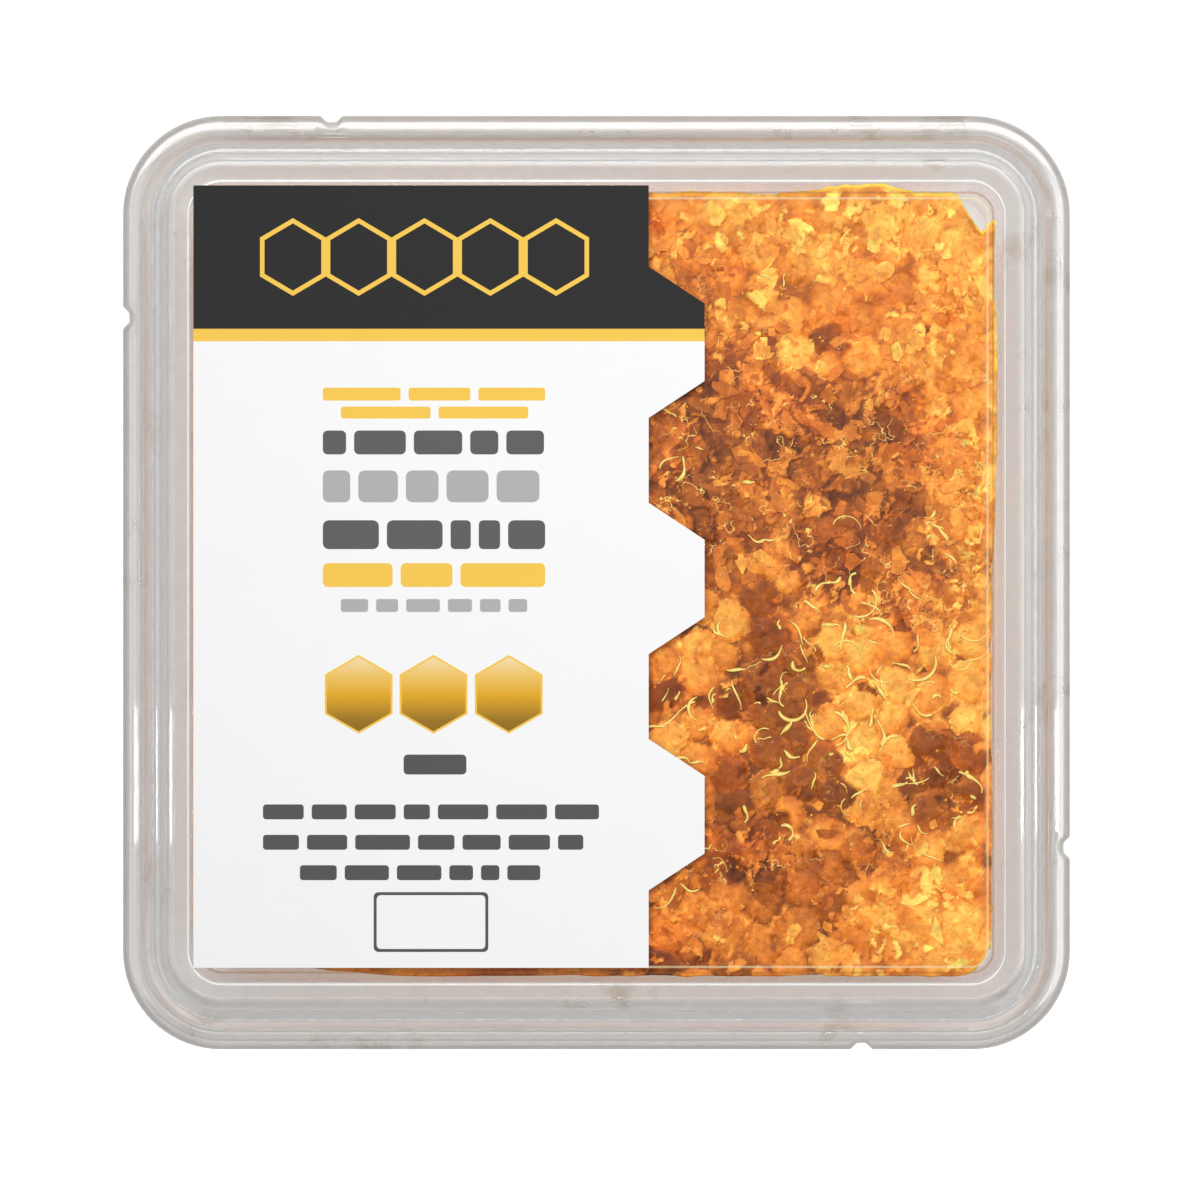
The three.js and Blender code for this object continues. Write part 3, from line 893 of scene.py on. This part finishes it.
def gather(parts):
    """Many small meshes as one."""
    points, faces, base = [], [], 0
    for part_points, part_faces in parts:
        points.append(part_points)
        faces += [tuple(base + i for i in face) for face in part_faces]
        base += len(part_points)
    return np.concatenate(points), faces


def surface_height(x, y):
    """The face's height at a place."""
    column = np.clip(np.searchsorted(FACE_COLUMNS, x), 0, len(FACE_COLUMNS) - 1)
    row = np.argmin(np.abs(face_y[:, column] - y))
    return face_z[row, column]


def somewhere(draw, spots):
    """A place drawn from patches of (pixel x, pixel y, half width, half height, how many)."""
    px, py, half_w, half_h, _ = draw.choices(spots, [spot[4] for spot in spots])[0]
    return mm(px + draw.uniform(-1, 1) * half_w, py + draw.uniform(-1, 1) * half_h)


THREAD_SPOTS = (
    (770, 640, 120, 80, 40), (880, 690, 100, 70, 40), (740, 730, 100, 50, 30),
    (840, 780, 150, 60, 26), (690, 850, 40, 60, 8), (940, 820, 50, 50, 14),
    (860, 560, 120, 50, 14), (740, 480, 90, 60, 12), (780, 300, 40, 30, 4),
)


def curl_path(draw, x, y):
    """A short path that bends one way, both ways, or into a hook."""
    length = draw.choice((0.9, 1.3, 1.8, 2.2, 2.6, 3.2, 4.2, 6.0)) * draw.uniform(0.75, 1.15)
    steps = max(8, int(length * 5))
    heading = draw.uniform(0, 2 * math.pi)
    bend = draw.choice((-1, 1)) * draw.uniform(1.4, 3.4)
    kind = draw.random()
    path = []
    for k in range(steps + 1):
        path.append((x, y))
        share = k / steps
        way = bend
        if kind < 0.7:
            way = bend * (1 - 2 * share) if kind < 0.35 else 2.2 * bend * share**2
        heading += (way + draw.uniform(-0.9, 0.9)) / steps
        x += math.cos(heading) * length / steps
        y += math.sin(heading) * length / steps
    return path


def rim_path(draw, x, y):
    """A short path along the edge of the nearest cap."""
    nearest = cells(np.array([x]), np.array([y]), CAP_PITCH, 0.0, 0)
    column, row = float(nearest[0][0]), float(nearest[1][0])
    cx = column * CAP_PITCH * math.sqrt(3) / 2
    cy = (row + (column % 2) * 0.5) * CAP_PITCH
    start, span = draw.uniform(0, 2 * math.pi), draw.uniform(0.5, 1.5) * draw.choice((-1, 1))
    reach, drift = draw.uniform(2.1, 2.8), draw.uniform(-0.5, 0.5)
    path = []
    for k in range(13):
        share = k / 12
        angle = start + span * share
        out = reach + drift * share + 0.12 * math.sin(7 * share + start)
        path.append((cx + out * math.cos(angle), cy + out * math.sin(angle)))
    return path


def wax_threads():
    """Thin curled shavings of wax, where the knife dragged or caps have split."""
    draw = random.Random(4)
    made = []
    while len(made) < THREADS:
        x, y = somewhere(draw, THREAD_SPOTS)
        path = np.array(rim_path(draw, x, y) if draw.random() < 0.45 else curl_path(draw, x, y))
        if path[:, 0].min() < 6 or path[:, 0].max() > 52.8 or abs(path[:, 1]).max() > 51:
            continue
        level = np.array([surface_height(x, y) for x, y in path])
        level = np.convolve(np.pad(level, 2, mode="edge"), np.ones(5) / 5, "valid")
        share = np.linspace(0, 1, len(path))
        thick = draw.choice((0.1, 0.13, 0.16, 0.2, 0.25))
        lumps = 1 + 0.4 * np.sin(share * draw.uniform(3, 8) + draw.uniform(0, 6))
        radii = thick * lumps * np.clip(4 * share * (1 - share), 0.12, 1) ** 0.3
        path = np.column_stack([path, np.minimum(level + 0.16, COMB_TOP + 0.34)])
        made.append(tube(path, radii))
    look = wax_look("wax_shavings", linear(255, 232, 126), 0.2, 0.4)
    make_piece("wax_threads", *gather(made), [look], "comb")


FLAKE_PLACES = (
    (820, 215, 190, 40, 150), (840, 290, 160, 50, 110), (960, 420, 50, 110, 50),
    (800, 400, 150, 70, 90), (800, 520, 160, 60, 90), (900, 600, 90, 40, 30),
    (820, 860, 160, 60, 90), (900, 930, 90, 40, 50), (720, 930, 80, 40, 30),
)


def wax_flakes():
    """Loose flakes of wax cap lying on the comb, each a thin ragged plate."""
    draw = random.Random(9)
    made, tones = [], []
    for _ in range(FLAKES):
        x, y = somewhere(draw, FLAKE_PLACES)
        size = draw.choice((0.4, 0.5, 0.7, 0.9, 1.2, 1.6))
        reach = size * 1.7
        if x < 5 or x > 52.6 - reach or abs(y) > 51.6 - reach or (x > 46 and y > 44):
            continue
        count = draw.randint(6, 9)
        turn, stretch = draw.uniform(0, math.pi), draw.uniform(1, 1.7)
        lean_x, lean_y = draw.uniform(-0.12, 0.12), draw.uniform(-0.12, 0.12)
        middle = surface_height(x, y) + 0.06
        pale, dark = (patches(np.array([x]), np.array([y]), t)[0] for t in (PALE_SPOTS, DARK_SPOTS))
        low = 0.48 if y < 30 else 0.56
        tone = low + 0.34 * draw.random() ** 1.5 + 0.5 * (pale - dark)
        ring = []
        for k in range(count):
            angle = 2 * math.pi * (k + draw.uniform(-0.3, 0.3)) / count
            reach = size * draw.uniform(0.55, 1.15)
            u, v = reach * stretch * math.cos(angle), reach / stretch * math.sin(angle)
            du = u * math.cos(turn) - v * math.sin(turn)
            dv = u * math.sin(turn) + v * math.cos(turn)
            z = min(middle + lean_x * du + lean_y * dv, COMB_TOP + 0.42)
            ring.append((x + du, y + dv, z))
        made.append(loft([ring, [(px, py, z - 0.14) for px, py, z in ring]]))
        # Each flake's lower ring is painted darker than its top: painted shade along its sides and
        # underside.
        tones += [tone + draw.uniform(-0.07, 0.07) for _ in ring] + [tone - 0.25] * count
    points, faces = gather(made)
    tones = np.array(tones)
    warmth = clouds(points[:, 0], points[:, 1], 6, 101, 4)
    paint = np.column_stack([coloured(tones, warmth), 0.3 + 0 * tones])
    make_piece("wax_flakes", points, faces, [comb_material], "comb", paint=paint, smooth=False)


def honey_beads():
    """Small drops of honey."""
    draw = random.Random(21)
    made = []
    while len(made) < BEADS:
        x, y = somewhere(draw, THREAD_SPOTS + FLAKE_PLACES)
        if x < 7 or x > 52 or abs(y) > 51 or (x > 46 and y > 44):
            continue
        size = draw.choice((0.1, 0.13, 0.16, 0.2, 0.26))
        middle = np.array([x, y, surface_height(x, y) + 0.05])
        points = [middle + (0, 0, size * 0.7)]
        for ring, (out, up) in enumerate(((0.6, 0.55), (0.95, 0.2), (1.0, -0.2))):
            for k in range(7):
                angle = 2 * math.pi * (k + ring / 2) / 7
                way = (out * math.cos(angle), out * math.sin(angle), up)
                points.append(middle + size * np.array(way))
        faces = [(0, 1 + k, 1 + (k + 1) % 7) for k in range(7)]
        faces += [*strip(1, 8, 7), *strip(8, 15, 7), tuple(range(21, 14, -1))]
        made.append((np.array(points), faces))
    look = wax_look("honey", linear(236, 150, 50), 0.08, 0.8)
    make_piece("honey_beads", *gather(made), [look], "comb")


wax_threads()
wax_flakes()
honey_beads()

# The label: a card, and ink in flat shapes on it


def plate(outline, low, high):
    """A flat plate with that outline, given anticlockwise."""
    return loft([[(x, y, z) for x, y in outline] for z in (high, low)])


def bar(px0, py0, px1, py1, rounding=0.4):
    """A rounded bar between two corners in pixels."""
    x0, y1 = mm(px0, py0)
    x1, y0 = mm(px1, py1)
    radius = min(x1 - x0, y1 - y0) / 2 * rounding
    left, right, low, high = x0 + radius, x1 - radius, y0 + radius, y1 - radius
    outline = []
    for quarter, (cx, cy) in enumerate(((right, high), (left, high), (left, low), (right, low))):
        for k in range(4):
            angle = (quarter + k / 3) * math.pi / 2
            outline.append((cx + radius * math.cos(angle), cy + radius * math.sin(angle)))
    return outline


def hexagon(px, py, half_w, half_h):
    """A hexagon with a point at the top."""
    x, y = mm(px, py)
    w, h = half_w * PIXEL, half_h * PIXEL
    corners = ((1, 0.5), (0, 1), (-1, 0.5), (-1, -0.5), (0, -1), (1, -0.5))
    return [(x + w * u, y + h * v) for u, v in corners]


def inked(outline, thickness=INK):
    """That outline as a plate of ink on the card."""
    return plate(outline, PRINT_Z, PRINT_Z + thickness)


def printing(name, plates, ink):
    """A piece made of plates of one ink."""
    make_piece(name, *gather(plates), [ink], "card", smooth=False)


STRIPE_TOP = mm(0, 328)[1]
STRIPE_BOTTOM = mm(0, 340.5)[1]
GOLD_HEXAGONS = (358, 433, 508.5)
GOLD_HEXAGONS_Y = 694.5

card = plate([(LEFT, BOTTOM), *teeth(), (LEFT, TOP)], CARD_Z, PRINT_Z)
white = printed("card_white", linear(246, 246, 246), 0.5)
make_piece("label_card", *card, [white], "card", ["label"], smooth=False)

band = [(LEFT, STRIPE_TOP), (PEAK, STRIPE_TOP), (PEAK, TEETH_TOP - TOOTH_SLANT)]
band += [(VALLEY, TEETH_TOP), (VALLEY, TOP), (LEFT, TOP)]
printing("label_band", [inked(band)], printed("ink_dark", linear(48, 48, 48), 0.6))
stripe = [(LEFT, STRIPE_BOTTOM), (PEAK, STRIPE_BOTTOM), (PEAK, STRIPE_TOP), (LEFT, STRIPE_TOP)]
gold = printed("ink_gold", linear(244, 200, 84), 0.45)
marks = [inked(stripe)]
for px in range(292, 557, 66):
    outline, hole = hexagon(px, 256, 33, 39), hexagon(px, 256, 28.5, 33.8)
    marks.append(frame_plate(outline, hole, PRINT_Z + INK, PRINT_Z + 2 * INK))
gold_bars = (
    (322, 387, 400, 400), (408, 387, 470, 400), (478, 387, 545, 400),
    (340, 406, 430, 418), (438, 406, 528, 418),
    (322, 563, 392, 587), (400, 563, 452, 587), (460, 563, 545, 587),
)
marks += [inked(bar(*box)) for box in gold_bars]
for px in GOLD_HEXAGONS:
    edges = [hexagon(px, GOLD_HEXAGONS_Y, *size) for size in ((34, 39.5), (32, 37.2))]
    marks.append(frame_plate(*edges, PRINT_Z, PRINT_Z + 2 * INK))
printing("label_gold", marks, gold)

hexagons = [inked(hexagon(px, GOLD_HEXAGONS_Y, 32.6, 37.9), 0.02) for px in GOLD_HEXAGONS]
gradient = gold_gradient("ink_gold_gradient", mm(0, 655)[1], mm(0, 734)[1])
printing("label_hexagons", hexagons, gradient)


def words(px0, px1, py0, py1, seed):
    """A line of text stood in for by bars as long as words."""
    draw = random.Random(seed)
    at, made = px0, []
    while at < px1 - 14:
        end = min(at + draw.uniform(18, 58), px1)
        made.append(inked(bar(at, py0, end, py1)))
        at = end + 8
    return made


dark_grey = words(322, 545, 430, 454, 1) + words(322, 545, 520, 549, 2)
light_grey = words(322, 545, 470, 502, 3) + words(340, 527, 599, 612, 4)
small = [inked(bar(403, 755, 466, 775))]
for row, (px0, px1) in enumerate(((262, 600), (262, 600), (299, 561))):
    small += words(px0, px1, 805 + row * 30.5, 820 + row * 30.5, 10 + row)
box, hollow = bar(373, 893, 488, 953, 0.15), bar(376, 896, 485, 950, 0.15)
small.append(frame_plate(box, hollow, PRINT_Z, PRINT_Z + INK))
printing("label_grey", dark_grey, printed("ink_grey", linear(96, 96, 96)))
printing("label_light_grey", light_grey, printed("ink_light_grey", linear(176, 176, 176)))
printing("label_small", small, printed("ink_small", linear(88, 88, 88)))

# The floor, the lights and the camera


def stage_floor():
    """A plain pale floor just under the pack."""
    mesh = bpy.data.meshes.new("floor")
    mesh.from_pydata([(-3, -3, 0), (3, -3, 0), (3, 3, 0), (-3, 3, 0)], [], [(0, 1, 2, 3)])
    look = Look("floor_white")
    look.set(Base_Color=(0.9, 0.9, 0.9), Roughness=0.9, Specular_IOR_Level=0.1)
    look.set(Emission_Color=(1.0, 1.0, 1.0), Emission_Strength=0.42)
    mesh.materials.append(look.material)
    placed("floor", mesh, (0, 0, -0.0002))


def panel_light(name, place, size, brightness):
    """A panel that shines straight down."""
    data = bpy.data.lights.new(name, "AREA")
    data.shape = "RECTANGLE"
    data.size, data.size_y = size
    data.energy = brightness * math.pi * size[0] * size[1]
    placed(name, data, place)


def studio_world():
    """Soft white light that is brighter low down, and at the top right of the picture."""
    world = bpy.data.worlds.new("studio")
    world.use_nodes = True
    nodes, links = world.node_tree.nodes, world.node_tree.links
    way = nodes.new("ShaderNodeTexCoord").outputs["Generated"]
    slope, level = nodes.new("ShaderNodeVectorMath"), nodes.new("ShaderNodeMath")
    slope.operation = "DOT_PRODUCT"
    links.new(way, slope.inputs[0])
    slope.inputs[1].default_value = (0.1, 0.15, -0.8)
    links.new(slope.outputs["Value"], level.inputs[0])
    level.inputs[1].default_value = 1.08
    links.new(level.outputs["Value"], nodes["Background"].inputs["Strength"])
    return world


# Each lamp is a panel beside the camera: its middle, its size, and how bright it looks
LAMPS = (
    ("panel_top", (0, 0.157, 0.49), (0.34, 0.09), 15.5),
    ("panel_right", (0.157, 0, 0.49), (0.09, 0.22), 11.5),
    ("panel_left", (-0.152, 0, 0.49), (0.08, 0.22), 4.8),
    ("panel_bottom", (0, -0.32, 0.42), (0.3, 0.08), 5.0),
    ("streak_right", (0.1153, -0.0478, 0.4895), (0.006, 0.034), 60.0),
    ("streak_left", (-0.1161, -0.0478, 0.4895), (0.006, 0.034), 60.0),
)


stage_floor()
for lamp in LAMPS:
    panel_light(*lamp)
scene = bpy.context.scene
scene.world = studio_world()
scene.view_settings.view_transform = "Standard"

LENS = 110
camera_data = bpy.data.cameras.new("camera")
camera_data.lens = LENS
camera_data.clip_start = 0.01
centre_x, centre_y = mm(PHOTO_SIZE / 2, PHOTO_SIZE / 2)
distance = LENS / camera_data.sensor_width * PHOTO_SIZE * PIXEL
camera_place = (centre_x * MM, centre_y * MM, (HEIGHT + distance) * MM)
scene.camera = placed("camera", camera_data, camera_place)
